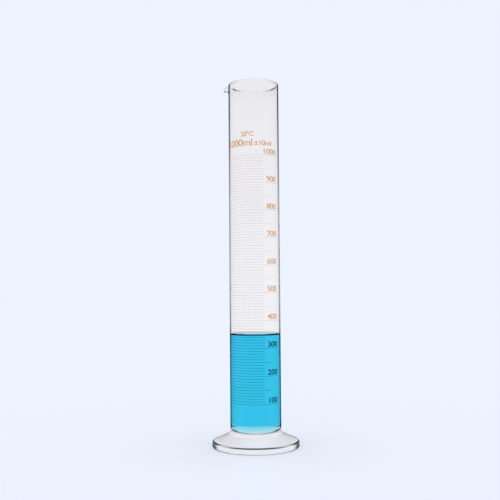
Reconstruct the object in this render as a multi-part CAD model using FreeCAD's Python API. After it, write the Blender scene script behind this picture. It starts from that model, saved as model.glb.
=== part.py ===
import FreeCAD, Part
import math
import os

# A tall glass measuring cylinder on a pressed round foot, part filled with a dyed
# liquid. Millimetres, +Z up. The origin is the centre of the face that it stands on.
# The scale is read from the front, -Y, and the spout pours towards -X.

# Barrel: a drawn glass tube with a flat bottom, a rounded corner and a fire-polished rim
BARREL_OUTER_DIAMETER = 65.0
BARREL_WALL = 2.2
BOTTOM_THICKNESS = 2.2
BOTTOM_OUTER_ROUNDING = 4.8
BOTTOM_INNER_ROUNDING = 2.6
HEADSPACE = 97.5  # from the top line of the scale to the rim

# Spout: a stretch of the wall below the rim, bent outwards and down
SPOUT_BENT_LENGTH = 11.9
SPOUT_BEND_DEG = 100.0
SPOUT_HALF_WIDTH_DEG = 14.5  # measured round the rim, from the middle of the spout
SPOUT_SECTIONS = 9
JOIN_TOLERANCE = 0.005  # the lofted spout meets the turned tube this closely

# Foot: a thick pressed disc with a conical top and a collar, fused to the barrel's bottom
FOOT_DIAMETER = 111.0
FOOT_EDGE_HEIGHT = 9.0
FOOT_TOP_ROUNDING = 3.0
FOOT_BOTTOM_ROUNDING = 2.0
SEAL_HEIGHT = 20.0  # where the barrel's flat bottom meets the collar
SEAL_FILLET = 0.3
COLLAR_OVERHANG = 1.3  # how far the collar stands out beyond the barrel
COLLAR_HEIGHT = 3.2  # above the cone
COLLAR_ROUNDING = 2.0
COLLAR_FILLET = 1.5
RECESS_DEPTH = 1.2  # the hollow underside keeps the foot from rocking
REST_RING_WIDTH = 9.0

# Scale: lines of fired enamel, placed by the volume that the bore holds below them
CAPACITY_ML = 1000
SCALE_FIRST_ML = 100
SCALE_STEP_ML = 10
MIDDLE_EVERY_ML = 50
LONG_EVERY_ML = 100
LINE_HEIGHT = 0.3
ENAMEL_THICKNESS = 0.1

# Angles round the barrel, from the front, -Y, with the reader's right positive
LINES_START_DEG = -53.0
SHORT_LINES_END_DEG = 34.0
MIDDLE_LINES_END_DEG = 49.0
LONG_LINES_END_DEG = 75.0

# Liquid: its level follows from its volume, and it climbs the wall a little
LIQUID_ML = 345.0
MENISCUS_RADIUS = 4.0
CONTACT_ANGLE_DEG = 30.0

# Directions and units
MM3_PER_ML = 1000.0
ORIGIN = FreeCAD.Vector(0, 0, 0)
UP = FreeCAD.Vector(0, 0, 1)
FULL_TURN_DEG = 360.0
FRONT_DEG = -90.0
SPOUT_DEG = 180.0

# Sizes that follow from the ones above
outer_radius = BARREL_OUTER_DIAMETER / 2
bore_radius = outer_radius - BARREL_WALL
wall_middle = outer_radius - BARREL_WALL / 2
flat_radius = outer_radius - BOTTOM_OUTER_ROUNDING
bore_flat_radius = bore_radius - BOTTOM_INNER_ROUNDING
floor_z = SEAL_HEIGHT + BOTTOM_THICKNESS
foot_radius = FOOT_DIAMETER / 2
collar_radius = outer_radius + COLLAR_OVERHANG


def height_of(volume_ml):
    """Height of the liquid's surface when the bore holds this volume."""
    rounding = BOTTOM_INNER_ROUNDING
    lost_area = bore_radius**2 - bore_flat_radius**2
    lost_area -= math.pi / 2 * bore_flat_radius * rounding + 2 / 3 * rounding**2
    lost_at_rounding = math.pi * rounding * lost_area
    return floor_z + (volume_ml * MM3_PER_ML + lost_at_rounding) / (math.pi * bore_radius**2)


rim_z = height_of(CAPACITY_ML) + HEADSPACE
spout_base_z = rim_z - SPOUT_BENT_LENGTH


def at(radius, height):
    """A point of a half section, in the plane of X and Z."""
    return FreeCAD.Vector(radius, 0, height)


def on_circle(centre, radius, angle):
    """A point of a half section on a circle, at an angle in radians from +X."""
    return at(centre.x + radius * math.cos(angle), centre.z + radius * math.sin(angle))


def line(start, end):
    return Part.makeLine(start, end)


def arc(start, middle, end):
    return Part.Arc(start, middle, end).toShape()


def round_arc(centre, radius, first, last):
    """An arc from one angle to another, in radians."""
    ends = [on_circle(centre, radius, angle) for angle in (first, (first + last) / 2, last)]
    return arc(*ends)


def turned(edges):
    """The full solid of revolution of a closed half section."""
    return Part.Face(Part.Wire(edges)).revolve(ORIGIN, UP, FULL_TURN_DEG)


def wall_section(bend_deg):
    """The wall from the spout's base to the rim, bent outwards by an angle.

    The bent stretch keeps its length and its thickness, and ends in the rounded rim.
    """
    half_wall = BARREL_WALL / 2
    length = SPOUT_BENT_LENGTH - half_wall
    bend = math.radians(bend_deg)
    outer_foot = at(outer_radius, spout_base_z)
    inner_foot = at(bore_radius, spout_base_z)
    if bend > 0:
        bend_radius = length / bend
        centre = at(wall_middle + bend_radius, spout_base_z)
        outer_side = round_arc(centre, bend_radius - half_wall, math.pi, math.pi - bend)
        inner_side = round_arc(centre, bend_radius + half_wall, math.pi - bend, math.pi)
        rim_middle = on_circle(centre, bend_radius, math.pi - bend)
    else:
        rim_middle = at(wall_middle, spout_base_z + length)
        outer_side = line(outer_foot, rim_middle + at(half_wall, 0))
        inner_side = line(rim_middle - at(half_wall, 0), inner_foot)
    rim = round_arc(rim_middle, half_wall, -bend, math.pi - bend)
    return Part.Wire([outer_side, rim, inner_side, line(inner_foot, outer_foot)])


def spout():
    """The bent wall, lofted through sections that fade into the plain rim on both sides."""
    sections = []
    for index in range(SPOUT_SECTIONS):
        share = 2 * index / (SPOUT_SECTIONS - 1) - 1
        is_end = index in (0, SPOUT_SECTIONS - 1)
        fade = 0 if is_end else math.cos(share * math.pi / 2) ** 2
        section = wall_section(SPOUT_BEND_DEG * fade)
        section.rotate(ORIGIN, UP, SPOUT_DEG + share * SPOUT_HALF_WIDTH_DEG)
        sections.append(section)
    return Part.makeLoft(sections, True, False)


def barrel():
    """Tube with a flat bottom, a ring of plain rim and the spout, in one glass."""
    outer_centre = at(flat_radius, SEAL_HEIGHT + BOTTOM_OUTER_ROUNDING)
    inner_centre = at(bore_flat_radius, floor_z + BOTTOM_INNER_ROUNDING)
    tube = turned(
        [
            line(at(0, SEAL_HEIGHT), at(flat_radius, SEAL_HEIGHT)),
            round_arc(outer_centre, BOTTOM_OUTER_ROUNDING, -math.pi / 2, 0),
            line(at(outer_radius, outer_centre.z), at(outer_radius, spout_base_z)),
            line(at(outer_radius, spout_base_z), at(bore_radius, spout_base_z)),
            line(at(bore_radius, spout_base_z), at(bore_radius, inner_centre.z)),
            round_arc(inner_centre, BOTTOM_INNER_ROUNDING, 0, -math.pi / 2),
            line(at(bore_flat_radius, floor_z), at(0, floor_z)),
            line(at(0, floor_z), at(0, SEAL_HEIGHT)),
        ]
    )
    rim_face = Part.Face(wall_section(0))
    rim_face.rotate(ORIGIN, UP, SPOUT_DEG + SPOUT_HALF_WIDTH_DEG)
    plain_rim = rim_face.revolve(ORIGIN, UP, FULL_TURN_DEG - 2 * SPOUT_HALF_WIDTH_DEG)
    glass = tube.multiFuse([plain_rim, spout()], JOIN_TOLERANCE).removeSplitter()
    return glass.Solids[0]


def foot():
    """Pressed disc with a hollow underside, and a collar that is fused to the barrel."""
    corner = at(flat_radius, SEAL_HEIGHT + BOTTOM_OUTER_ROUNDING)
    seal_reach = 2 * math.sqrt(BOTTOM_OUTER_ROUNDING * SEAL_FILLET)
    seal = at(flat_radius + seal_reach, SEAL_HEIGHT + SEAL_FILLET)
    wrap = math.atan2(corner.z - seal.z, seal_reach)
    shoulder = at(collar_radius - COLLAR_ROUNDING, SEAL_HEIGHT - COLLAR_ROUNDING)

    cone_start = at(collar_radius, SEAL_HEIGHT - COLLAR_HEIGHT)
    top_centre = at(foot_radius - FOOT_TOP_ROUNDING, FOOT_EDGE_HEIGHT - FOOT_TOP_ROUNDING)
    run = top_centre - cone_start
    slope = math.atan2(-run.z, run.x) - math.asin(FOOT_TOP_ROUNDING / run.Length)
    upright = math.pi / 2 - slope  # the way the cone's face looks
    groove_rise = COLLAR_FILLET * (1 - math.sin(slope)) / math.cos(slope)
    groove = cone_start + at(COLLAR_FILLET, groove_rise)
    cone_top = on_circle(groove, COLLAR_FILLET, upright + math.pi)
    cone_end = on_circle(top_centre, FOOT_TOP_ROUNDING, upright)

    bottom_centre = at(foot_radius - FOOT_BOTTOM_ROUNDING, FOOT_BOTTOM_ROUNDING)
    ring_inner = bottom_centre.x - REST_RING_WIDTH
    dome_radius = (ring_inner**2 + RECESS_DEPTH**2) / (2 * RECESS_DEPTH)
    dome_centre = at(0, RECESS_DEPTH - dome_radius)
    dome_start = math.atan2(-dome_centre.z, ring_inner)
    return turned(
        [
            line(at(0, RECESS_DEPTH), at(0, SEAL_HEIGHT)),
            line(at(0, SEAL_HEIGHT), at(flat_radius, SEAL_HEIGHT)),
            round_arc(corner, BOTTOM_OUTER_ROUNDING, -math.pi / 2, -wrap),
            round_arc(seal, SEAL_FILLET, math.pi - wrap, math.pi * 3 / 2),
            line(at(seal.x, SEAL_HEIGHT), at(shoulder.x, SEAL_HEIGHT)),
            round_arc(shoulder, COLLAR_ROUNDING, math.pi / 2, 0),
            line(at(collar_radius, shoulder.z), at(collar_radius, groove.z)),
            round_arc(groove, COLLAR_FILLET, math.pi, upright + math.pi),
            line(cone_top, cone_end),
            round_arc(top_centre, FOOT_TOP_ROUNDING, upright, 0),
            line(at(foot_radius, top_centre.z), at(foot_radius, bottom_centre.z)),
            round_arc(bottom_centre, FOOT_BOTTOM_ROUNDING, 0, -math.pi / 2),
            line(at(bottom_centre.x, 0), at(ring_inner, 0)),
            round_arc(dome_centre, dome_radius, dome_start, math.pi / 2),
        ]
    )


def liquid():
    """The filling, which takes the bore's shape and has a concave surface."""
    level_z = height_of(LIQUID_ML)
    climb = math.pi / 2 - math.radians(CONTACT_ANGLE_DEG)
    inner_centre = at(bore_flat_radius, floor_z + BOTTOM_INNER_ROUNDING)
    meniscus = at(bore_radius - MENISCUS_RADIUS * math.sin(climb), level_z + MENISCUS_RADIUS)
    edge_z = meniscus.z - MENISCUS_RADIUS * math.cos(climb)
    return turned(
        [
            line(at(0, floor_z), at(bore_flat_radius, floor_z)),
            round_arc(inner_centre, BOTTOM_INNER_ROUNDING, -math.pi / 2, 0),
            line(at(bore_radius, inner_centre.z), at(bore_radius, edge_z)),
            round_arc(meniscus, MENISCUS_RADIUS, climb - math.pi / 2, -math.pi / 2),
            line(at(meniscus.x, level_z), at(0, level_z)),
            line(at(0, level_z), at(0, floor_z)),
        ]
    )


def scale_line(volume_ml, end_deg):
    """One enamel strip on the outside of the barrel, at the height of its volume."""
    low = height_of(volume_ml) - LINE_HEIGHT / 2
    high = low + LINE_HEIGHT
    skin = outer_radius + ENAMEL_THICKNESS
    corners = [at(outer_radius, low), at(skin, low), at(skin, high), at(outer_radius, high)]
    strip = Part.Face(Part.makePolygon(corners + corners[:1]))
    strip.rotate(ORIGIN, UP, FRONT_DEG + LINES_START_DEG)
    return strip.revolve(ORIGIN, UP, end_deg - LINES_START_DEG)


def scale():
    """The lines in three lengths: every step, every middle mark and every numbered mark."""
    lines = {"ten_ml_lines": [], "fifty_ml_lines": [], "hundred_ml_lines": []}
    for volume_ml in range(SCALE_FIRST_ML, CAPACITY_ML + 1, SCALE_STEP_ML):
        if volume_ml % LONG_EVERY_ML == 0:
            lines["hundred_ml_lines"].append(scale_line(volume_ml, LONG_LINES_END_DEG))
        elif volume_ml % MIDDLE_EVERY_ML == 0:
            lines["fifty_ml_lines"].append(scale_line(volume_ml, MIDDLE_LINES_END_DEG))
        else:
            lines["ten_ml_lines"].append(scale_line(volume_ml, SHORT_LINES_END_DEG))
    return {name: Part.makeCompound(strips) for name, strips in lines.items()}


def main():
    pieces = {"barrel": barrel(), "foot": foot(), "liquid": liquid()}
    pieces.update(scale())
    os.makedirs("parts", exist_ok=True)
    for name, shape in pieces.items():
        shape.exportStep(f"parts/{name}.step")


main()
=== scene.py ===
"""A glass measuring cylinder with a pouring spout, a printed volume scale and a dyed filling.

Metres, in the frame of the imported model: +Z up, the scale is read from -Y, the spout is at -X.
"""

import math

import bmesh
import bpy
from mathutils import Matrix, Vector


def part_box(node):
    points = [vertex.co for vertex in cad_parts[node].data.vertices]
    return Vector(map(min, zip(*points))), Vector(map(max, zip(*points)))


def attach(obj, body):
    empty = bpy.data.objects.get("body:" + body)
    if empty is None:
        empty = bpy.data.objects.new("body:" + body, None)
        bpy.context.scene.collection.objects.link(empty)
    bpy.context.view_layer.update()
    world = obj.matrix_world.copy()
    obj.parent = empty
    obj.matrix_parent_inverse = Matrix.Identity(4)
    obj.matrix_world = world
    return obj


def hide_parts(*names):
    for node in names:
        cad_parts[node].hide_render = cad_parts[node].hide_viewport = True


bl_info = {
    "name": "Measuring cylinder",
    "version": (1, 0, 0),
    "blender": (4, 5, 0),
    "location": "3D View > Sidebar > Cylinder",
    "description": "Builds a graduated glass measuring cylinder round its packed model",
    "category": "Add Mesh",
}

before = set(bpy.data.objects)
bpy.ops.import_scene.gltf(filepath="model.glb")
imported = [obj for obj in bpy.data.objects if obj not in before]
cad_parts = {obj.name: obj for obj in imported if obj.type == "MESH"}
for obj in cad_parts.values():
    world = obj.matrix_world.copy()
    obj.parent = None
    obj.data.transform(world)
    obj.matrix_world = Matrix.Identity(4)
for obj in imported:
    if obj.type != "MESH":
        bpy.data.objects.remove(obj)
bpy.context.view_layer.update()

BODY = "root"
MM = 0.001
QUARTER_TURN = math.pi / 2
FULL_TURN = 2 * math.pi
WHITE = (1.0, 1.0, 1.0, 1.0)
BLACK = (0.0, 0.0, 0.0, 1.0)

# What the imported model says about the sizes
barrel_low, barrel_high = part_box("barrel")
foot_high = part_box("foot")[1]
liquid_low, liquid_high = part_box("liquid")
marks_low, marks_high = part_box("hundred_ml_lines")

# How finely round forms are drawn
TURN_STEPS = 288
ARC_STEPS = 12
LINE_STEPS = 40
LETTER_STEPS = 4
SHADING_MARGIN = 0.3 * MM  # an extra ring this near each end of a flat stretch keeps it flat
LARGEST_MARGIN = 0.25  # share of a short stretch
STRAIGHT = 1e-4  # radians, a bend that is too small to see

# Material slots of the tube, of the foot and of the filling
OUTSIDE, BORE, JOINT, WETTED, BELOW_RIM, SEAM, RIM, CORNER = range(8)
CONE, EDGE, SEAT, BEAD, GROUND = range(5)
WATER = 0
# How many steps of an arc belong to its first slot
SEAM_STEPS = 4  # of the tube's bottom corner
BELOW_RIM_STEPS = 2  # of the inside of the wall, from the rim down
SIDE_STEPS = 3  # of the foot's upper corner, from its side up

# Glass and water
GLASS_IOR = 1.473  # borosilicate
WATER_IOR = 1.333
# Waves that drawing leaves in a tube and a mould leaves in a foot: width, run up the axis and depth
DRAW_WAVES = (9 * MM, 260 * MM, 0.002 * MM)
CHILL_WAVES = (7 * MM, 7 * MM, 0.006 * MM)

# Painted shade of the wall's edge, by share of the height: dark at the bottom, at the filling's surface and
# at the rim, and palest between the last two
PAINTED_EDGE_SHADES = (
    (0.06, "#1C2228"),
    (0.09, "#6A6E74"),
    (0.313, "#0C1014"),
    (0.325, "#68686C"),
    (0.4, "#9A9A9E"),
    (0.62, "#A8A8AC"),
    (0.81, "#4C4C50"),
    (0.92, "#1C1C20"),
)

# Painted shade by facing: where one tint gives way to the next, by how far the surface turns away: 0 faces
# the eye,
# 1 is seen along
WALL_TURNS = (0.66, 0.70)
RIM_TURNS = (0.1, 0.4)
CORNER_TURNS = (0.3, 0.5)
FOOT_EDGE_TURNS = (0.5, 0.64)
BEAD_TURNS = (0.2, 0.36, 0.40, 0.52)
FILLING_TURNS = (0.13, 0.29, 0.35)

# Where the filling's surface counts as sloping and as flat, by the upright part of its normal
SLOPING = {"From Min": 0.2, "From Max": 0.45}
FLAT = {"From Min": 0.7, "From Max": 0.9}
# Painted light in the filling just above the foot
GLOW_FULL = 0.8  # up to this share of its height, the glow above the foot is full

# Enamel
GRAIN_WIDTH = 1.2 * MM  # specks, which are finer in reality and wouldn't show
ENAMEL_ROUGHNESS = 0.35
NOISE_MEAN = 0.5

# The table and the room. Distances from the axis are in radii of the foot
TABLE_ROUGHNESS = 0.06
# Painted light on the table round the foot, which only glass shows: where it reaches and where its ring lies
GATHER_REACH = 1.3  # the foot gathers light on the table out to here
LIGHT_RING = (1.2, 1.35, 2.2, 2.9)  # light round the foot, as glass mirrors it: from nothing to full and back
RING_REACH = 3.0  # beyond the ring
ROOM_HEIGHTS = (0.02, 0.27, 0.8)  # eye level, a little higher and overhead, for a direction of length 1

# Volumes that the scale marks
FIRST_ML = 100
LAST_ML = 1000
STEP_ML = 10
MIDDLE_ML = 50
LONG_ML = 100

# Inputs of the node tree that draws the lines
LINE_INPUTS = {
    "First Height": "NodeSocketFloat",
    "Spacing": "NodeSocketFloat",
    "Count": "NodeSocketInt",
    "Leave Out Every": "NodeSocketInt",
    "Radius": "NodeSocketFloat",
    "Thickness": "NodeSocketFloat",
    "Line Height": "NodeSocketFloat",
    "Start Angle": "NodeSocketFloat",
    "Sweep": "NodeSocketFloat",
    "Material": "NodeSocketMaterial",
}
NO_REST = 0.5  # a division of whole numbers that leaves less than this leaves nothing

# Letters, for a text size of 1
DIGIT_SHARE = 0.73  # height of a figure in the built-in typeface
STROKE_GAIN = 0.012  # how much the strokes spread in printing
LETTER_SPACE = 0.92  # how closely the letters are set
LETTER_HALF_DEPTH = 0.5
# Letters in their real size
LETTER_MERGE = 0.001 * MM  # corners of a letter that lie this near are one
PRINT_CUT = 1.0 * MM  # flat letters are cut this often before they are bent round the barrel
# The print above the scale: words, figure height, stretch, start angle in degrees, height above the top line
HEADER = (
    ("1000ml", 9.0 * MM, 1.15, -54, 11.9 * MM),
    ("±", 6.0 * MM, 1.2, 14, 12.8 * MM),
    ("10ml", 6.6 * MM, 1.14, 26, 12.5 * MM),
    ("20°C", 6.2 * MM, 1.03, -17, 24.1 * MM),
)


def linear(hex_colour):
    """An sRGB hex colour as linear red, green, blue and full alpha."""
    channels = []
    for start in (1, 3, 5):
        value = int(hex_colour[start : start + 2], 16) / 255
        low, high = value / 12.92, ((value + 0.055) / 1.055) ** 2.4
        channels.append(low if value <= 0.04045 else high)
    return (*channels, 1.0)


def number(name, description, default, **kind):
    """A setting that is a number, with its unit, subtype or limits."""
    return bpy.props.FloatProperty(name=name, description=description, default=default, **kind)


def length(name, description, default):
    """A setting in metres."""
    return number(name, description, default, unit="LENGTH", subtype="DISTANCE", precision=5)


def angle(name, description, degrees):
    """A setting that is an angle."""
    return number(name, description, math.radians(degrees), unit="ROTATION", subtype="ANGLE")


def portion(name, description, default):
    """A setting from 0 for none to 1 for all."""
    return number(name, description, default, subtype="FACTOR", min=0, max=1)


def colour(name, description, hex_colour):
    """A setting that is a colour."""
    return bpy.props.FloatVectorProperty(
        name=name, description=description, default=linear(hex_colour), size=4, subtype="COLOR", min=0, max=1
    )


class MC_PG_barrel(bpy.types.PropertyGroup):
    """Sizes and colours of the drawn tube."""

    outer_radius: length("Outer radius", "Outside of the tube", barrel_high.x)
    bore_radius: length("Bore radius", "Inside of the tube", liquid_high.x)
    seal_z: length("Seal height", "Where the flat bottom meets the foot", barrel_low.z)
    floor_z: length("Floor height", "Where the filling starts", liquid_low.z)
    rim_z: length("Rim height", "Top of the tube", barrel_high.z)
    outer_rounding: length("Outer rounding", "Round corner at the bottom, outside", 4.8 * MM)
    inner_rounding: length("Inner rounding", "Round corner at the bottom, inside", 2.6 * MM)
    spout_length: length("Spout length", "Stretch of wall that is bent outwards", 11.9 * MM)
    spout_bend: angle("Spout bend", "How far the lip is bent over", 100)
    spout_half_width: angle("Spout half width", "Round the rim, from the middle of the spout", 14.5)
    cast: colour("Cast", "Cast of the clear glass, white for none", "#FFFFFF")
    # Painted shade: the three tints below darken the rim, the inside just below it and the corner above the
    # foot
    rim: colour("Rim", "The rounded rim where the eye looks along it", "#EEF0F4")
    below_rim: colour("Below rim", "The inside of the wall just below the rim, seen the same way", "#101014")
    seam: colour("Seam", "The round corner just above the foot, which bends the light away", "#2A3236")


class MC_PG_foot(bpy.types.PropertyGroup):
    """Sizes and colours of the pressed foot."""

    radius: length("Radius", "Outside of the disc", foot_high.x)
    edge_height: length("Edge height", "Top of the rounded edge", 9 * MM)
    top_rounding: length("Top rounding", "Round corner above", 3 * MM)
    bottom_rounding: length("Bottom rounding", "Round corner below", 2 * MM)
    seal_fillet: length("Seal fillet", "Round corner between the tube and the foot", 0.3 * MM)
    collar_overhang: length("Collar overhang", "How far the collar stands out beyond the tube", 1.3 * MM)
    collar_height: length("Collar height", "Of the collar above the cone", 3.2 * MM)
    collar_rounding: length("Collar rounding", "Round corner on top of the collar", 2 * MM)
    collar_fillet: length("Collar fillet", "Round corner between the collar and the cone", 1.5 * MM)
    recess_depth: length("Recess depth", "Hollow of the underside", 1.2 * MM)
    rest_ring: length("Rest ring", "Width of the ring that it stands on", 9 * MM)
    cast: colour("Cast", "Faint cast of the thick glass", "#FBFBFF")
    side: colour("Side", "The edge where the eye looks straight into it", "#ECFCFF")
    # Painted shade: the three tints below darken the rounded edge and the bead above it, the last one less
    edge: colour("Edge", "Glass seen along the rounded edge", "#2A2A2E")
    bead: colour("Bead", "The thin bead of glass above the edge, which bends the light away", "#101418")
    bead_pale: colour("Bead pale", "The same bead where it is half turned away", "#C8CCD0")
    satin: portion("Satin", "Roughness of the ground underside", 0.8)
    grain: portion("Grain", "Share of the underside that scatters light all ways", 0.8)


class MC_PG_liquid(bpy.types.PropertyGroup):
    """Sizes and colours of the filling."""

    edge_z: length("Edge height", "Where the surface meets the wall", liquid_high.z)
    # Painted light: the filling is tinted paler just above the foot, this far up and by this share
    glow: length("Glow", "How far up the light from the foot makes it paler", 9 * MM)
    glow_share: portion("Glow share", "How much paler it is there", 0.75)
    meniscus: length("Meniscus", "Radius of the curved edge of the surface", 4 * MM)
    contact_angle: angle("Contact angle", "Between the surface and the wall", 30)
    overlap: length("Overlap", "How far it reaches into the wall, so that no air shows between", 0.15 * MM)
    dye: colour("Dye", "What the dyed water lets through", "#50EEFB")
    front: colour("Front", "Its tint against the wall", "#63DFF7")
    # Painted shade: the three tints below darken the filling's sides, its very edge and climb, and its curved
    # surface
    side: colour("Side", "Its tint where the eye looks along its side", "#2ED0E9")
    rim: colour("Rim", "Its tint at the very side and where it climbs the wall", "#124A60")
    curl: colour("Curl", "The curved edge of its surface, seen from above", "#8E96A2")
    density: number("Density", "Strength of the dye, per metre", 20.0, min=0)


class MC_PG_enamel(bpy.types.PropertyGroup):
    """Sizes, places and colours of the print. Angles are from the front, to the reader's right."""

    thickness: length("Thickness", "How far the enamel stands out", 0.1 * MM)
    sink: length("Sink", "How far it is fired into the glass", 0.03 * MM)
    line_height: length("Line height", "Width of one line", 0.3 * MM)
    lines_start: angle("Lines start", "Left end of every line", -53)
    short_end: angle("Short end", "Right end of the 10 ml lines", 34)
    middle_end: angle("Middle end", "Right end of the 50 ml lines", 49)
    long_end: angle("Long end", "Right end of the 100 ml lines", 75)
    numbers_end: angle("Numbers end", "Right end of the numbers", 70)
    number_height: length("Number height", "Height of the figures of the scale", 7.1 * MM)
    number_gap: length("Number gap", "From a line to the number above it", 1.7 * MM)
    number_stretch: number("Number stretch", "How wide the figures are drawn", 1.2, min=0.1)
    line_stain: colour("Line stain", "What the thin enamel of a line lets through", "#E8E2DC")
    stain: colour("Stain", "What the enamel of a letter lets through", "#F4DBBC")
    # Painted shade: the two tints below make the print darker in front of the filling
    shaded_line: colour("Wet line", "A line in front of the filling", "#1A2026")
    shaded_stain: colour("Wet stain", "A letter in front of the filling", "#2C8494")
    body: colour("Body", "Its own colour", "#D89048")
    line_cover: portion("Line cover", "Share of the light that the body of a line stops", 0.05)
    cover: portion("Cover", "Share of the light that the body of a letter stops", 0.10)


class MC_PG_studio(bpy.types.PropertyGroup):
    """The camera, the floor and the light."""

    view_turn: angle("View turn", "How far the camera stands to the reader's right", 13)
    distance: length("Distance", "From the camera to the barrel's axis", 978.3 * MM)
    height: length("Height", "Of the camera above the floor", 198.4 * MM)
    pitch: angle("Pitch", "How far the camera looks up", 3.06)
    yaw: angle("Yaw", "How far it looks past the barrel, to the left", 0.344)
    roll: angle("Roll", "How far it leans to the right", 0.42)
    lens: number("Lens", "Focal length in millimetres", 54.56, subtype="DISTANCE_CAMERA")
    floor_size: length("Floor size", "Side of the floor", 24.0)
    floor_gloss: portion("Floor gloss", "Share of light that the floor mirrors", 0.05)
    floor_glow: portion("Floor glow", "Share of the floor's light that no shadow dims", 0.45)
    daylight: number("Daylight", "Brightness of the soft light from all sides", 1.07, min=0)
    backdrop: colour("Backdrop", "Floor and background", "#EDF3FF")
    level: colour("Level", "What glass shows of the room at eye level", "#F5F5FA")
    raised: colour("Raised", "What glass shows a little higher", "#EFEEF2")
    steep: colour("Steep", "What glass shows overhead", "#E8E8EC")
    mirrored: colour("Mirrored", "What shines in glass and on the floor", "#34363A")


class MC_PG_cylinder(bpy.types.PropertyGroup):
    """All settings of the measuring cylinder."""

    barrel: bpy.props.PointerProperty(type=MC_PG_barrel, name="Barrel", description="The tube")
    foot: bpy.props.PointerProperty(type=MC_PG_foot, name="Foot", description="The pressed disc")
    liquid: bpy.props.PointerProperty(type=MC_PG_liquid, name="Liquid", description="The filling")
    enamel: bpy.props.PointerProperty(type=MC_PG_enamel, name="Enamel", description="The print")
    studio: bpy.props.PointerProperty(type=MC_PG_studio, name="Studio", description="The stage")


def add(tree, kind, inputs=None, stops=(), **settings):
    """Adds a node, with stops of (place, colour) if it is a colour ramp.

    Its inputs are values, outputs of other nodes, or nodes, which stand for their first output.
    """
    node = tree.nodes.new(kind)
    for name, value in settings.items():
        setattr(node, name, value)
    for name, value in (inputs or {}).items():
        source = value.outputs[0] if isinstance(value, bpy.types.Node) else value
        if isinstance(source, bpy.types.NodeSocket):
            tree.links.new(source, node.inputs[name])
        else:
            node.inputs[name].default_value = source
    if stops:
        elements = node.color_ramp.elements
        elements.remove(elements[1])
        elements[0].position, elements[0].color = stops[0]
        for position, shade in stops[1:]:
            elements.new(position).color = shade
    return node


def new_material(name):
    """An empty material and its node tree."""
    material = bpy.data.materials.new(name)
    material.use_nodes = True
    material.node_tree.nodes.clear()
    return material, material.node_tree


def ripples(tree, width, run, depth):
    """A bump of soft waves, this wide round the axis and this long up the axis, in metres."""
    place = add(tree, "ShaderNodeTexCoord").outputs["Object"]
    stretch = (1 / width, 1 / width, 1 / run)
    mapped = add(tree, "ShaderNodeMapping", {"Vector": place, "Scale": stretch})
    waves = add(tree, "ShaderNodeTexNoise", {"Vector": mapped, "Scale": 1.0, "Detail": 1.0})
    return add(tree, "ShaderNodeBump", {"Height": waves, "Distance": depth})


def height_above_table(tree):
    """How high the surface lies, in metres."""
    place = add(tree, "ShaderNodeTexCoord").outputs["Object"]
    return add(tree, "ShaderNodeSeparateXYZ", {"Vector": place}).outputs["Z"]


def layered(tree, shown, *covers):
    """A colour with others laid over it, one after the other. Each is (how much it covers, colour)."""
    for amount, cover in covers:
        mixed = add(tree, "ShaderNodeMix", {0: amount, 6: shown, 7: cover}, data_type="RGBA")
        shown = mixed.outputs[2]
    return shown


def by_facing(tree, turns, shades):
    """A colour that changes as the surface turns away from the eye."""
    turned = add(tree, "ShaderNodeLayerWeight").outputs["Facing"]
    return add(tree, "ShaderNodeValToRGB", {"Fac": turned}, stops=list(zip(turns, shades)))


def from_outside(tree, tint, clear):
    """A tint for light that comes in, and clear glass for light that goes out again."""
    goes_out = add(tree, "ShaderNodeNewGeometry").outputs["Backfacing"]
    return layered(tree, tint, (goes_out, clear))


def finish_clear(material, tint, ior=GLASS_IOR, shine=WHITE, normal=None, dye=None):
    """Clear glass or water with a tint, which may come from a node, and perhaps a dye inside.

    White shine is what glass has in air. Black shine mirrors nothing where the eye meets it head on.
    """
    tree = material.node_tree
    values = {
        "Base Color": tint,
        "Roughness": 0.0,
        "IOR": ior,
        "Transmission Weight": 1.0,
        "Specular Tint": shine,
    }
    if normal:
        values["Normal"] = normal
    parts = {"Surface": add(tree, "ShaderNodeBsdfPrincipled", values)}
    if dye:
        parts["Volume"] = add(tree, "ShaderNodeVolumeAbsorption", dye)
    add(tree, "ShaderNodeOutputMaterial", parts)
    return material


def drawn_glass_outside(barrel):
    """Borosilicate glass, drawn and fire-polished: clear, with long and shallow draw waves.

    Painted shade darkens the wall where the eye looks along it, most of all at the rim.
    """
    material, tree = new_material("borosilicate_glass_drawn_outside")
    rise = {"Value": height_above_table(tree), "From Max": barrel.rim_z}
    share_up = add(tree, "ShaderNodeMapRange", rise)
    # Painted shade of the edge, darker or paler by height
    shades = [(position, linear(shade)) for position, shade in PAINTED_EDGE_SHADES]
    edge = add(tree, "ShaderNodeValToRGB", {"Fac": share_up}, stops=shades)
    tint = layered(tree, barrel.cast, (by_facing(tree, WALL_TURNS, (BLACK, WHITE)), edge))
    return finish_clear(material, tint, normal=ripples(tree, *DRAW_WAVES))


def drawn_glass_inside(barrel):
    """The dry bore of the drawn tube: the same clear glass and draw waves, with no dark edge of its own."""
    material, tree = new_material("borosilicate_glass_drawn_bore")
    return finish_clear(material, barrel.cast, normal=ripples(tree, *DRAW_WAVES))


def polished_rim(name, cast, shade):
    """Fire-polished glass at the rim: it is round, and painted shade tints it towards the sides."""
    material, tree = new_material(name)
    return finish_clear(material, by_facing(tree, RIM_TURNS, (cast, shade)))


def rounded_corner(barrel):
    """The round corner at the bottom of the tube, with painted shade that makes it dark at the sides."""
    material, tree = new_material("borosilicate_glass_drawn_corner")
    tint = by_facing(tree, CORNER_TURNS, (barrel.cast, barrel.seam))
    return finish_clear(material, from_outside(tree, tint, barrel.cast))


def painted_seam_shade(barrel):
    """The corner sealed to the foot, with painted shade on light coming in that shows as a thin grey line."""
    material, tree = new_material("borosilicate_glass_sealed_seam")
    return finish_clear(material, from_outside(tree, barrel.seam, barrel.cast))


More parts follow.
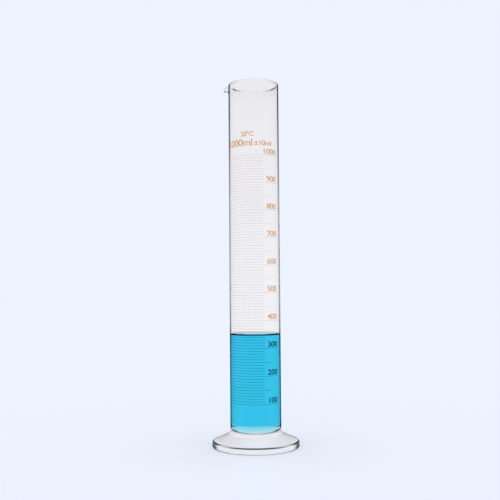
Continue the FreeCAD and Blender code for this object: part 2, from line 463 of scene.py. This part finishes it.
def drawn_glass_wetted(barrel):
    """The bore where the filling wets it: glass against water mirrors next to nothing."""
    material, _ = new_material("borosilicate_glass_wetted_bore")
    return finish_clear(material, barrel.cast, shine=BLACK)


def fused_joint(name):
    """Glass fused to glass: no surface is left at the joint, so the eye looks straight through it."""
    material, tree = new_material(name)
    add(tree, "ShaderNodeOutputMaterial", {"Surface": add(tree, "ShaderNodeBsdfTransparent")})
    return material


def pressed_glass(foot):
    """Pressed glass: clear and thick, with the soft chill waves that the mould leaves."""
    material, tree = new_material("borosilicate_glass_pressed")
    return finish_clear(material, foot.cast, normal=ripples(tree, *CHILL_WAVES))


def pressed_glass_edge(foot):
    """The rounded edge of the pressed disc, with painted shade that darkens it where the eye looks along it.
    """
    material, tree = new_material("borosilicate_glass_pressed_edge")
    tint = by_facing(tree, FOOT_EDGE_TURNS, (foot.side, foot.edge))
    waves = ripples(tree, *CHILL_WAVES)
    return finish_clear(material, from_outside(tree, tint, foot.cast), normal=waves)


def pressed_glass_bead(foot):
    """The tightly curved bead above the edge of the pressed disc, with painted shade that shows as a dark
    line.

    The painted line is pale where the bead is half turned away, and dark again at the very sides.
    """
    material, tree = new_material("borosilicate_glass_pressed_bead")
    tint = by_facing(tree, BEAD_TURNS, (foot.bead, foot.bead_pale, foot.bead_pale, foot.bead))
    return finish_clear(material, from_outside(tree, tint, foot.cast))


def ground_glass(foot):
    """The underside, ground flat: its fine grain scatters the light of the table and mirrors no image."""
    material, tree = new_material("borosilicate_glass_ground")
    values = {"Base Color": foot.cast, "Roughness": foot.satin, "IOR": GLASS_IOR, "Transmission Weight": 1.0}
    rough = add(tree, "ShaderNodeBsdfPrincipled", values)
    grain = add(tree, "ShaderNodeBsdfTranslucent", {"Color": foot.cast})
    mixed = add(tree, "ShaderNodeMixShader", {0: foot.grain, 1: rough, 2: grain})
    add(tree, "ShaderNodeOutputMaterial", {"Surface": mixed})
    return material


def surface_level(liquid):
    """Height of the flat middle of the filling's surface, below its edge."""
    climb = QUARTER_TURN - liquid.contact_angle
    return liquid.edge_z - liquid.meniscus * (1 - math.cos(climb))


def dyed_water(liquid, floor_z):
    """Water with a blue dye: deeper in colour the more of it the eye looks through.

    Against the wall it mirrors nothing. Painted shade makes its sides deeper, navy at the very edge and where
    it climbs the wall, and grey on the curved edge of its surface seen from above. Painted light makes it
    paler just above the foot. Its floor is clear, and its open surface shines.
    """
    material, tree = new_material("water_dyed_blue")
    height = height_above_table(tree)
    normal = add(tree, "ShaderNodeNewGeometry").outputs["True Normal"]
    upright = add(tree, "ShaderNodeSeparateXYZ", {"Vector": normal}).outputs["Z"]
    flatness = add(tree, "ShaderNodeMath", {0: upright}, operation="ABSOLUTE")
    is_level = add(tree, "ShaderNodeMapRange", {"Value": flatness, **SLOPING})
    is_flat = add(tree, "ShaderNodeMapRange", {"Value": flatness, **FLAT})
    heights = {0: height, 1: surface_level(liquid)}
    is_climbing = add(tree, "ShaderNodeMath", heights, operation="GREATER_THAN")
    is_open = add(tree, "ShaderNodeMath", {0: is_climbing, 1: is_level}, operation="MULTIPLY")
    near_foot = {
        "Value": height,
        "From Min": floor_z + liquid.glow,
        "From Max": floor_z + GLOW_FULL * liquid.glow,
        "To Max": liquid.glow_share,
    }
    glow = add(tree, "ShaderNodeMapRange", near_foot)

    # Painted shade on its sides, edge, climb and curve, and painted light just above the foot
    against_wall = by_facing(tree, FILLING_TURNS, (liquid.front, liquid.side, liquid.rim))
    wall = from_outside(tree, layered(tree, against_wall, (glow, WHITE)), against_wall)
    climbing = from_outside(tree, liquid.rim, WHITE)
    corner = from_outside(tree, WHITE, liquid.side)
    curl = from_outside(tree, liquid.curl, WHITE)
    level = layered(tree, corner, (is_open, curl), (is_flat, WHITE))
    tint = layered(tree, wall, (is_climbing, climbing), (is_level, level))
    shine = layered(tree, BLACK, (is_open, WHITE))
    dye = {"Color": liquid.dye, "Density": liquid.density}
    return finish_clear(material, tint, WATER_IOR, shine, dye=dye)


def fired_enamel(name, stain, shaded_stain, cover, settings):
    """Thin amber enamel, screen printed and fired: it stains the light that passes and has a little body.

    In front of the filling painted shade tints it dark, since hardly any light comes through there.
    """
    material, tree = new_material(name)
    heights = {0: height_above_table(tree), 1: settings.liquid.edge_z}
    is_dry = add(tree, "ShaderNodeMath", heights, operation="GREATER_THAN")
    # Painted shade: in front of the filling, the film and the body take the darker tints
    passed = layered(tree, shaded_stain, (is_dry, stain))
    film = add(tree, "ShaderNodeBsdfTransparent", {"Color": passed})
    own = layered(tree, shaded_stain, (is_dry, settings.enamel.body))
    body = add(tree, "ShaderNodeBsdfPrincipled", {"Base Color": own, "Roughness": ENAMEL_ROUGHNESS})
    place = add(tree, "ShaderNodeTexCoord").outputs["Object"]
    grain = add(tree, "ShaderNodeTexNoise", {"Vector": place, "Scale": 1 / GRAIN_WIDTH})
    covered = add(tree, "ShaderNodeMapRange", {"Value": grain, "To Max": cover / NOISE_MEAN})
    mixed = add(tree, "ShaderNodeMixShader", {0: covered, 1: film, 2: body})
    add(tree, "ShaderNodeOutputMaterial", {"Surface": mixed})
    return material


def arc(centre, radius, first, last):
    """Points of a half section on an arc. Each is (distance from the axis, height)."""
    points = []
    for step in range(ARC_STEPS + 1):
        turn = first + (last - first) * step / ARC_STEPS
        points.append((centre[0] + radius * math.cos(turn), centre[1] + radius * math.sin(turn)))
    return points


def straight(start, end):
    """Points of a half section on a line, with one near each end to keep its shading flat."""
    start, end = Vector(start), Vector(end)
    margin = (end - start) * min(SHADING_MARGIN / (end - start).length, LARGEST_MARGIN)
    return [tuple(point) for point in (start, start + margin, end - margin, end)]


def half_section(*stretches):
    """Joins stretches of (points, material slot) to one line of points, with a slot for each step."""
    points, slots = [], []
    for stretch, slot in stretches:
        points += stretch[1:] if points else stretch
        slots += [slot] * (len(stretch) - 1)
    return points, slots


def turned_mesh(name, sections):
    """A closed mesh from half sections that stand at equal angles round the axis.

    Each is its points, from the axis round the outside and back to the axis, and its material slots.
    """
    builder = bmesh.new()
    first_points = sections[0][0]
    low = builder.verts.new((0, 0, first_points[0][1]))
    high = builder.verts.new((0, 0, first_points[-1][1]))
    rings = []
    for index, (points, _) in enumerate(sections):
        turn = FULL_TURN * index / len(sections)
        across = Vector((math.cos(turn), math.sin(turn), 0))
        ring = [builder.verts.new(across * out + Vector((0, 0, up))) for out, up in points[1:-1]]
        rings.append([low, *ring, high])
    for index, ring in enumerate(rings):
        after = rings[(index + 1) % len(rings)]
        for step, slot in enumerate(sections[index][1]):
            corners = (ring[step], after[step], after[step + 1], ring[step + 1])
            face = builder.faces.new(dict.fromkeys(corners))
            face.material_index = slot
            face.smooth = True
    mesh = bpy.data.meshes.new(name)
    builder.to_mesh(mesh)
    builder.free()
    return mesh


def plain_mesh(source, name):
    """The finished mesh of an object that is then removed."""
    bpy.context.scene.collection.objects.link(source)
    graph = bpy.context.evaluated_depsgraph_get()
    mesh = bpy.data.meshes.new_from_object(source.evaluated_get(graph), depsgraph=graph)
    mesh.name = name
    bpy.data.objects.remove(source)
    return mesh


def add_piece(name, mesh, materials, replaced=None):
    """Shows a finished mesh as a piece of the object."""
    if not mesh.polygons:
        raise RuntimeError(f"{name} has no faces")
    for material in materials:
        mesh.materials.append(material)
    piece = bpy.data.objects.new(name, mesh)
    bpy.context.scene.collection.objects.link(piece)
    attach(piece, BODY)
    if replaced:
        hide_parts(replaced)


def seal_wrap(barrel, foot):
    """Where the tube's bottom corner and the fillet on the foot meet: both centres, and the angle."""
    reach = 2 * math.sqrt(barrel.outer_rounding * foot.seal_fillet)
    flat = barrel.outer_radius - barrel.outer_rounding
    corner = (flat, barrel.seal_z + barrel.outer_rounding)
    fillet = (flat + reach, barrel.seal_z + foot.seal_fillet)
    return corner, fillet, math.atan2(corner[1] - fillet[1], reach)


def barrel_section(settings, bend):
    """Half section of the barrel where its upper wall is bent outwards by an angle."""
    barrel = settings.barrel
    wet_z = settings.liquid.edge_z
    half_wall = (barrel.outer_radius - barrel.bore_radius) / 2
    middle = barrel.bore_radius + half_wall
    bent_length = barrel.spout_length - half_wall
    base_z = barrel.rim_z - barrel.spout_length
    bend = max(bend, STRAIGHT)
    bend_radius = bent_length / bend

    def bent(share, across):
        turn = bend * share
        out = middle + bend_radius * (1 - math.cos(turn)) + across * math.cos(turn)
        return (out, base_z + bend_radius * math.sin(turn) - across * math.sin(turn))

    shares = [step / ARC_STEPS for step in range(ARC_STEPS + 1)]
    inside = [bent(share, -half_wall) for share in reversed(shares)]
    corner, _, wrap = seal_wrap(barrel, settings.foot)
    bottom_corner = arc(corner, barrel.outer_rounding, -wrap, 0)
    inner_flat = barrel.bore_radius - barrel.inner_rounding
    inner_corner = (inner_flat, barrel.floor_z + barrel.inner_rounding)
    return half_section(
        (straight((0, barrel.seal_z), (corner[0], barrel.seal_z)), JOINT),
        (arc(corner, barrel.outer_rounding, -QUARTER_TURN, -wrap), JOINT),
        (bottom_corner[: SEAM_STEPS + 1], SEAM),
        (bottom_corner[SEAM_STEPS:], CORNER),
        (straight((barrel.outer_radius, corner[1]), (barrel.outer_radius, base_z)), OUTSIDE),
        ([bent(share, half_wall) for share in shares], OUTSIDE),
        (arc(bent(1, 0), half_wall, -bend, math.pi - bend), RIM),
        (inside[: BELOW_RIM_STEPS + 1], BELOW_RIM if bend < barrel.spout_bend / 2 else BORE),
        (inside[BELOW_RIM_STEPS:], BORE),
        (straight((barrel.bore_radius, base_z), (barrel.bore_radius, wet_z)), BORE),
        (straight((barrel.bore_radius, wet_z), (barrel.bore_radius, inner_corner[1])), WETTED),
        (arc(inner_corner, barrel.inner_rounding, 0, -QUARTER_TURN), WETTED),
        (straight((inner_flat, barrel.floor_z), (0, barrel.floor_z)), WETTED),
    )


class MC_OT_barrel(bpy.types.Operator):
    """Builds the drawn tube with its rounded bottom, fire-polished rim and spout"""

    bl_idname = "measuring_cylinder.barrel"
    bl_label = "Barrel"

    def execute(self, context):
        settings = context.scene.measuring_cylinder
        barrel = settings.barrel
        sections = []
        for index in range(TURN_STEPS):
            from_spout = abs(FULL_TURN * index / TURN_STEPS - math.pi)
            share = min(from_spout / barrel.spout_half_width, 1)
            bend = barrel.spout_bend * math.cos(share * QUARTER_TURN) ** 2
            sections.append(barrel_section(settings, bend))
        mesh = turned_mesh("glass_barrel", sections)
        materials = {
            OUTSIDE: drawn_glass_outside(barrel),
            BORE: drawn_glass_inside(barrel),
            JOINT: fused_joint("borosilicate_glass_fused_tube"),
            WETTED: drawn_glass_wetted(barrel),
            BELOW_RIM: polished_rim("borosilicate_glass_polished_below_rim", barrel.cast, barrel.below_rim),
            SEAM: painted_seam_shade(barrel),
            RIM: polished_rim("borosilicate_glass_polished_rim", barrel.cast, barrel.rim),
            CORNER: rounded_corner(barrel),
        }
        add_piece("glass_barrel", mesh, materials.values(), "barrel")
        return {"FINISHED"}


def foot_section(barrel, foot):
    """Half section of the foot, from its hollow underside round the edge to the seat."""
    bottom = (foot.radius - foot.bottom_rounding, foot.bottom_rounding)
    ring = bottom[0] - foot.rest_ring
    dome_radius = (ring**2 + foot.recess_depth**2) / (2 * foot.recess_depth)
    dome_centre = (0, foot.recess_depth - dome_radius)
    dome_end = math.atan2(-dome_centre[1], ring)

    collar = barrel.outer_radius + foot.collar_overhang
    shoulder = (collar - foot.collar_rounding, barrel.seal_z - foot.collar_rounding)
    cone_start = (collar, barrel.seal_z - foot.collar_height)
    top = (foot.radius - foot.top_rounding, foot.edge_height - foot.top_rounding)
    run, fall = top[0] - cone_start[0], cone_start[1] - top[1]
    slope = math.atan2(fall, run) - math.asin(foot.top_rounding / math.hypot(run, fall))
    upright = QUARTER_TURN - slope
    groove_rise = foot.collar_fillet * (1 - math.sin(slope)) / math.cos(slope)
    groove_centre = (collar + foot.collar_fillet, cone_start[1] + groove_rise)

    corner, seal, wrap = seal_wrap(barrel, foot)
    rounded_top = arc(top, foot.top_rounding, 0, upright)
    groove = arc(groove_centre, foot.collar_fillet, upright + math.pi, math.pi)
    return half_section(
        (arc(dome_centre, dome_radius, QUARTER_TURN, dome_end), GROUND),
        (straight((ring, 0), (bottom[0], 0)), GROUND),
        (arc(bottom, foot.bottom_rounding, -QUARTER_TURN, 0), EDGE),
        (straight((foot.radius, bottom[1]), (foot.radius, top[1])), EDGE),
        (rounded_top[: SIDE_STEPS + 1], EDGE),
        (rounded_top[SIDE_STEPS:], BEAD),
        (straight(rounded_top[-1], groove[0]), CONE),
        (groove, CONE),
        (straight(groove[-1], (collar, shoulder[1])), CONE),
        (arc(shoulder, foot.collar_rounding, 0, QUARTER_TURN), CONE),
        (straight((shoulder[0], barrel.seal_z), (seal[0], barrel.seal_z)), CONE),
        (arc(seal, foot.seal_fillet, 3 * QUARTER_TURN, math.pi - wrap), CONE),
        (arc(corner, barrel.outer_rounding, -wrap, -QUARTER_TURN), SEAT),
        (straight((corner[0], barrel.seal_z), (0, barrel.seal_z)), SEAT),
    )


class MC_OT_foot(bpy.types.Operator):
    """Builds the pressed disc with its conical top, rounded edge and hollow underside"""

    bl_idname = "measuring_cylinder.foot"
    bl_label = "Foot"

    def execute(self, context):
        settings = context.scene.measuring_cylinder
        foot = settings.foot
        section = foot_section(settings.barrel, foot)
        mesh = turned_mesh("glass_foot", [section] * TURN_STEPS)
        materials = {
            CONE: pressed_glass(foot),
            EDGE: pressed_glass_edge(foot),
            SEAT: fused_joint("borosilicate_glass_fused_foot"),
            BEAD: pressed_glass_bead(foot),
            GROUND: ground_glass(foot),
        }
        add_piece("glass_foot", mesh, materials.values(), "foot")
        return {"FINISHED"}


class MC_OT_liquid(bpy.types.Operator):
    """Builds the dyed filling with its concave surface"""

    bl_idname = "measuring_cylinder.liquid"
    bl_label = "Liquid"

    def execute(self, context):
        settings = context.scene.measuring_cylinder
        barrel, liquid = settings.barrel, settings.liquid
        climb = QUARTER_TURN - liquid.contact_angle
        radius = barrel.bore_radius + liquid.overlap
        bottom_z = barrel.floor_z - liquid.overlap
        flat = barrel.bore_radius - barrel.inner_rounding
        corner = (flat, barrel.floor_z + barrel.inner_rounding)
        level = surface_level(liquid)
        meniscus = (barrel.bore_radius - liquid.meniscus * math.sin(climb), level + liquid.meniscus)
        section = half_section(
            (straight((0, bottom_z), (flat, bottom_z)), WATER),
            (arc(corner, barrel.inner_rounding + liquid.overlap, -QUARTER_TURN, 0), WATER),
            (straight((radius, corner[1]), (radius, level)), WATER),
            (straight((radius, level), (radius, liquid.edge_z)), WATER),
            ([(radius, liquid.edge_z), (barrel.bore_radius, liquid.edge_z)], WATER),
            (arc(meniscus, liquid.meniscus, climb - QUARTER_TURN, -QUARTER_TURN), WATER),
            (straight((meniscus[0], level), (0, level)), WATER),
        )
        mesh = turned_mesh("blue_filling", [section] * TURN_STEPS)
        materials = [dyed_water(liquid, barrel.floor_z)]
        add_piece("blue_filling", mesh, materials, "liquid")
        return {"FINISHED"}


def line_height_of(volume_ml, enamel):
    """Height of a line's middle, from the first and the last of the numbered lines."""
    first = marks_low.z + enamel.line_height / 2
    last = marks_high.z - enamel.line_height / 2
    return first + (last - first) * (volume_ml - FIRST_ML) / (LAST_ML - FIRST_ML)


def line_tree():
    """Nodes that bend one enamel strip round the barrel and repeat it up the scale."""
    tree = bpy.data.node_groups.new("Scale lines", "GeometryNodeTree")
    for name, kind in LINE_INPUTS.items():
        tree.interface.new_socket(name, in_out="INPUT", socket_type=kind)
    tree.interface.new_socket("Geometry", in_out="OUTPUT", socket_type="NodeSocketGeometry")
    given = add(tree, "NodeGroupInput").outputs

    # One strip, bent round the barrel
    bow = {"Radius": given["Radius"], "Start Angle": given["Start Angle"], "Sweep Angle": given["Sweep"]}
    path = add(tree, "GeometryNodeCurveArc", {"Resolution": LINE_STEPS, **bow})
    level = add(tree, "GeometryNodeSetCurveNormal", {"Curve": path}, mode="Z_UP")
    sizes = {"Width": given["Thickness"], "Height": given["Line Height"]}
    profile = add(tree, "GeometryNodeCurvePrimitiveQuadrilateral", sizes)
    swept = {"Curve": level, "Profile Curve": profile, "Fill Caps": True}
    strip = add(tree, "GeometryNodeCurveToMesh", swept)

    # The heights of all strips, without those that a longer line takes
    start = add(tree, "ShaderNodeCombineXYZ", {"Z": given["First Height"]})
    step = add(tree, "ShaderNodeCombineXYZ", {"Z": given["Spacing"]})
    row = {"Count": given["Count"], "Start Location": start, "Offset": step}
    heights = add(tree, "GeometryNodeMeshLine", row)
    index = add(tree, "GeometryNodeInputIndex")
    every = given["Leave Out Every"]
    rest = add(tree, "ShaderNodeMath", {0: index, 1: every}, operation="MODULO")
    is_multiple = add(tree, "ShaderNodeMath", {0: rest, 1: NO_REST}, operation="LESS_THAN")
    left_out = add(tree, "ShaderNodeMath", {0: is_multiple, 1: every}, operation="MULTIPLY")
    kept = add(tree, "GeometryNodeDeleteGeometry", {"Geometry": heights, "Selection": left_out})

    lines = add(tree, "GeometryNodeInstanceOnPoints", {"Points": kept, "Instance": strip})
    real = add(tree, "GeometryNodeRealizeInstances", {"Geometry": lines})
    finished = add(tree, "GeometryNodeSetMaterial", {"Geometry": real, "Material": given["Material"]})
    add(tree, "NodeGroupOutput", {"Geometry": finished})
    return tree


def mesh_from_tree(tree, values, name):
    """Runs a Geometry Nodes tree once and keeps its result as a plain mesh."""
    source = bpy.data.objects.new("tree_source", bpy.data.meshes.new("tree_source"))
    modifier = source.modifiers.new("Tree", "NODES")
    modifier.node_group = tree
    for item in tree.interface.items_tree:
        if item.in_out == "INPUT":
            modifier[item.identifier] = values[item.name]
    return plain_mesh(source, name)


class MC_OT_scale_lines(bpy.types.Operator):
    """Builds the lines of the scale in their three lengths"""

    bl_idname = "measuring_cylinder.scale_lines"
    bl_label = "Scale lines"

    def execute(self, context):
        settings = context.scene.measuring_cylinder
        enamel = settings.enamel
        tree = line_tree()
        step = line_height_of(FIRST_ML + STEP_ML, enamel) - line_height_of(FIRST_ML, enamel)
        long_step = step * LONG_ML / STEP_ML
        short_count = (LAST_ML - FIRST_ML) // STEP_ML + 1
        long_count = (LAST_ML - FIRST_ML) // LONG_ML + 1
        # First volume, spacing, count, how often a line is left out, and right end
        line_sets = {
            "ten_ml": (FIRST_ML, step, short_count, MIDDLE_ML // STEP_ML, enamel.short_end),
            "fifty_ml": (FIRST_ML + MIDDLE_ML, long_step, long_count - 1, 0, enamel.middle_end),
            "hundred_ml": (FIRST_ML, long_step, long_count, 0, enamel.long_end),
        }
        looks = (enamel.line_stain, enamel.shaded_line, enamel.line_cover)
        material = fired_enamel("amber_enamel_fired_thin", *looks, settings)
        for name, (first_ml, spacing, count, leave_out, end) in line_sets.items():
            values = {
                "First Height": line_height_of(first_ml, enamel),
                "Spacing": spacing,
                "Count": count,
                "Leave Out Every": leave_out,
                "Radius": settings.barrel.outer_radius + (enamel.thickness - enamel.sink) / 2,
                "Thickness": enamel.thickness + enamel.sink,
                "Line Height": enamel.line_height,
                "Start Angle": enamel.lines_start - QUARTER_TURN,
                "Sweep": end - enamel.lines_start,
                "Material": material,
            }
            mesh = mesh_from_tree(tree, values, f"{name}_marks")
            add_piece(f"{name}_marks", mesh, [], f"{name}_lines")
        return {"FINISHED"}


def flat_text(words, digit_height, stretch, depth):
    """Letters as a mesh, standing on y = 0 and starting at x = 0, with their front at z = depth."""
    curve = bpy.data.curves.new("letters", "FONT")
    curve.body = words
    curve.resolution_u = LETTER_STEPS
    curve.extrude = LETTER_HALF_DEPTH
    curve.offset = STROKE_GAIN
    curve.space_character = LETTER_SPACE
    mesh = plain_mesh(bpy.data.objects.new("letters", curve), "letters")
    bpy.data.curves.remove(curve)
    left = min(vertex.co.x for vertex in mesh.vertices)
    scale = digit_height / DIGIT_SHARE
    sizes = Matrix.Diagonal((scale * stretch, scale, depth, 1))
    mesh.transform(sizes @ Matrix.Translation((-left, 0, LETTER_HALF_DEPTH)))
    return mesh


def bend_text(builder, words, digit_height, stretch, start, base_z, settings, from_right=False):
    """Adds letters to a mesh, bent round the barrel from a start angle, or up to it."""
    enamel = settings.enamel
    radius = settings.barrel.outer_radius
    mesh = flat_text(words, digit_height, stretch, enamel.thickness + enamel.sink)
    letters = bmesh.new()
    letters.from_mesh(mesh)
    bpy.data.meshes.remove(mesh)
    bmesh.ops.remove_doubles(letters, verts=letters.verts, dist=LETTER_MERGE)
    width = max(vertex.co.x for vertex in letters.verts)
    for cut in range(1, int(width / PRINT_CUT) + 1):
        everything = letters.verts[:] + letters.edges[:] + letters.faces[:]
        place = (cut * PRINT_CUT, 0, 0)
        bmesh.ops.bisect_plane(letters, geom=everything, plane_co=place, plane_no=(1, 0, 0))
    shift = -width if from_right else 0
    for vertex in letters.verts:
        turn = start + (vertex.co.x + shift) / radius
        out = radius - enamel.sink + vertex.co.z
        vertex.co = (out * math.sin(turn), -out * math.cos(turn), base_z + vertex.co.y)
    bent = bpy.data.meshes.new("bent_letters")
    letters.to_mesh(bent)
    letters.free()
    builder.from_mesh(bent)
    bpy.data.meshes.remove(bent)


def add_print(name, builder, settings):
    """Shows printed letters as one piece."""
    mesh = bpy.data.meshes.new(name)
    builder.to_mesh(mesh)
    builder.free()
    enamel = settings.enamel
    looks = (enamel.stain, enamel.shaded_stain, enamel.cover)
    material = fired_enamel(f"amber_enamel_fired_{name}", *looks, settings)
    add_piece(name, mesh, [material])


class MC_OT_scale_numbers(bpy.types.Operator):
    """Builds the numbers beside the long lines"""

    bl_idname = "measuring_cylinder.scale_numbers"
    bl_label = "Scale numbers"

    def execute(self, context):
        settings = context.scene.measuring_cylinder
        enamel = settings.enamel
        builder = bmesh.new()
        for volume in range(FIRST_ML, LAST_ML + 1, LONG_ML):
            base_z = line_height_of(volume, enamel) + enamel.number_gap
            figures = (str(volume), enamel.number_height, enamel.number_stretch)
            bend_text(builder, *figures, enamel.numbers_end, base_z, settings, from_right=True)
        add_print("scale_numbers", builder, settings)
        return {"FINISHED"}


class MC_OT_header(bpy.types.Operator):
    """Builds the capacity, its tolerance and the temperature above the scale"""

    bl_idname = "measuring_cylinder.header"
    bl_label = "Capacity print"

    def execute(self, context):
        settings = context.scene.measuring_cylinder
        top_line = line_height_of(LAST_ML, settings.enamel)
        builder = bmesh.new()
        for words, digit_height, stretch, start, above in HEADER:
            place = (math.radians(start), top_line + above)
            bend_text(builder, words, digit_height, stretch, *place, settings)
        add_print("capacity_print", builder, settings)
        return {"FINISHED"}


def studio_world(studio):
    """Pale surroundings. Glass shows a room that gets darker overhead, and mirrors little."""
    world = bpy.data.worlds.new("Studio")
    world.use_nodes = True
    tree = world.node_tree
    tree.nodes.clear()
    rays = add(tree, "ShaderNodeLightPath").outputs
    direction = add(tree, "ShaderNodeTexCoord").outputs["Generated"]
    up = add(tree, "ShaderNodeSeparateXYZ", {"Vector": direction}).outputs["Z"]
    room = list(zip(ROOM_HEIGHTS, (studio.level, studio.raised, studio.steep)))
    seen_through = add(tree, "ShaderNodeValToRGB", {"Fac": up}, stops=room)
    shown = layered(
        tree,
        [studio.daylight] * 3 + [1.0],
        (rays["Is Glossy Ray"], studio.mirrored),
        (rays["Is Transmission Ray"], seen_through),
        (rays["Is Camera Ray"], studio.backdrop),
    )
    background = add(tree, "ShaderNodeBackground", {"Color": shown})
    add(tree, "ShaderNodeOutputWorld", {"Surface": background})
    bpy.context.scene.world = world


def satin_table(studio):
    """Pale satin laminate: matt, with a faint soft reflection, and as bright as the backdrop in the open.

    The table that shows through glass is painted white under the foot, as if the foot gathered light below
    it, so it looks as bright as the rest. What glass mirrors of the table has a painted ring of light round
    the foot.
    """
    material, tree = new_material("laminate_satin_pale")
    matt_share = studio.daylight * (1 - studio.floor_gloss)
    matt_colour = [
        min((wanted - studio.floor_gloss * shine) / matt_share, 1.0)
        for wanted, shine in zip(studio.backdrop, studio.mirrored)
    ]
    matt = add(tree, "ShaderNodeBsdfDiffuse", {"Color": matt_colour})
    gloss = add(tree, "ShaderNodeBsdfGlossy", {"Color": WHITE, "Roughness": TABLE_ROUGHNESS})
    shown = add(tree, "ShaderNodeMixShader", {0: studio.floor_gloss, 1: matt, 2: gloss})

    place = add(tree, "ShaderNodeTexCoord").outputs["Object"]
    from_axis = add(tree, "ShaderNodeVectorMath", {0: place}, operation="LENGTH").outputs["Value"]
    # Painted light: the table seen through glass is white under the foot
    gathered = {"Value": from_axis, "From Min": foot_high.x, "From Max": GATHER_REACH * foot_high.x}
    below = layered(tree, WHITE, (add(tree, "ShaderNodeMapRange", gathered), studio.level))
    # Painted light: a ring round the foot, for the table mirrored in glass
    ring = {"Value": from_axis, "From Max": RING_REACH * foot_high.x}
    share_out = add(tree, "ShaderNodeMapRange", ring)
    ring_shades = (studio.mirrored, WHITE, WHITE, studio.mirrored)
    stops = [(radius / RING_REACH, shade) for radius, shade in zip(LIGHT_RING, ring_shades)]
    around = add(tree, "ShaderNodeValToRGB", {"Fac": share_out}, stops=stops)
    rays = add(tree, "ShaderNodeLightPath").outputs
    for amount, light in (
        (studio.floor_glow, studio.backdrop),
        (rays["Is Glossy Ray"], around),
        (rays["Is Transmission Ray"], below),
    ):
        lit = add(tree, "ShaderNodeEmission", {"Color": light})
        shown = add(tree, "ShaderNodeMixShader", {0: amount, 1: shown, 2: lit})
    add(tree, "ShaderNodeOutputMaterial", {"Surface": shown})
    return material


class MC_OT_studio(bpy.types.Operator):
    """Builds the floor, the light and the camera"""

    bl_idname = "measuring_cylinder.studio"
    bl_label = "Studio"

    def execute(self, context):
        studio = context.scene.measuring_cylinder.studio
        half = studio.floor_size / 2
        mesh = bpy.data.meshes.new("floor")
        corners = [(-half, -half, 0), (half, -half, 0), (half, half, 0), (-half, half, 0)]
        mesh.from_pydata(corners, [], [(0, 1, 2, 3)])
        mesh.materials.append(satin_table(studio))
        floor = bpy.data.objects.new("floor", mesh)
        context.scene.collection.objects.link(floor)
        studio_world(studio)

        camera = bpy.data.objects.new("camera", bpy.data.cameras.new("camera"))
        camera.data.lens = studio.lens
        camera.matrix_world = (
            Matrix.Rotation(studio.view_turn, 4, "Z")
            @ Matrix.Translation((0, -studio.distance, studio.height))
            @ Matrix.Rotation(studio.yaw, 4, "Z")
            @ Matrix.Rotation(QUARTER_TURN + studio.pitch, 4, "X")
            @ Matrix.Rotation(-studio.roll, 4, "Z")
        )
        context.scene.collection.objects.link(camera)
        context.scene.camera = camera
        context.scene.view_settings.view_transform = "Standard"
        return {"FINISHED"}


BUILDERS = (
    MC_OT_barrel,
    MC_OT_foot,
    MC_OT_liquid,
    MC_OT_scale_lines,
    MC_OT_scale_numbers,
    MC_OT_header,
    MC_OT_studio,
)


class MC_PT_cylinder(bpy.types.Panel):
    """Lists the pieces of the measuring cylinder"""

    bl_idname = "MC_PT_cylinder"
    bl_label = "Measuring cylinder"
    bl_space_type = "VIEW_3D"
    bl_region_type = "UI"
    bl_category = "Cylinder"

    def draw(self, context):
        for builder in BUILDERS:
            self.layout.operator(builder.bl_idname)


CLASSES = (
    MC_PG_barrel,
    MC_PG_foot,
    MC_PG_liquid,
    MC_PG_enamel,
    MC_PG_studio,
    MC_PG_cylinder,
    *BUILDERS,
    MC_PT_cylinder,
)


def register():
    for cls in CLASSES:
        bpy.utils.register_class(cls)
    bpy.types.Scene.measuring_cylinder = bpy.props.PointerProperty(type=MC_PG_cylinder)


def unregister():
    del bpy.types.Scene.measuring_cylinder
    for cls in reversed(CLASSES):
        bpy.utils.unregister_class(cls)


def main():
    register()
    for builder in BUILDERS:
        group, name = builder.bl_idname.split(".")
        getattr(getattr(bpy.ops, group), name)()


if __name__ == "__main__":
    main()
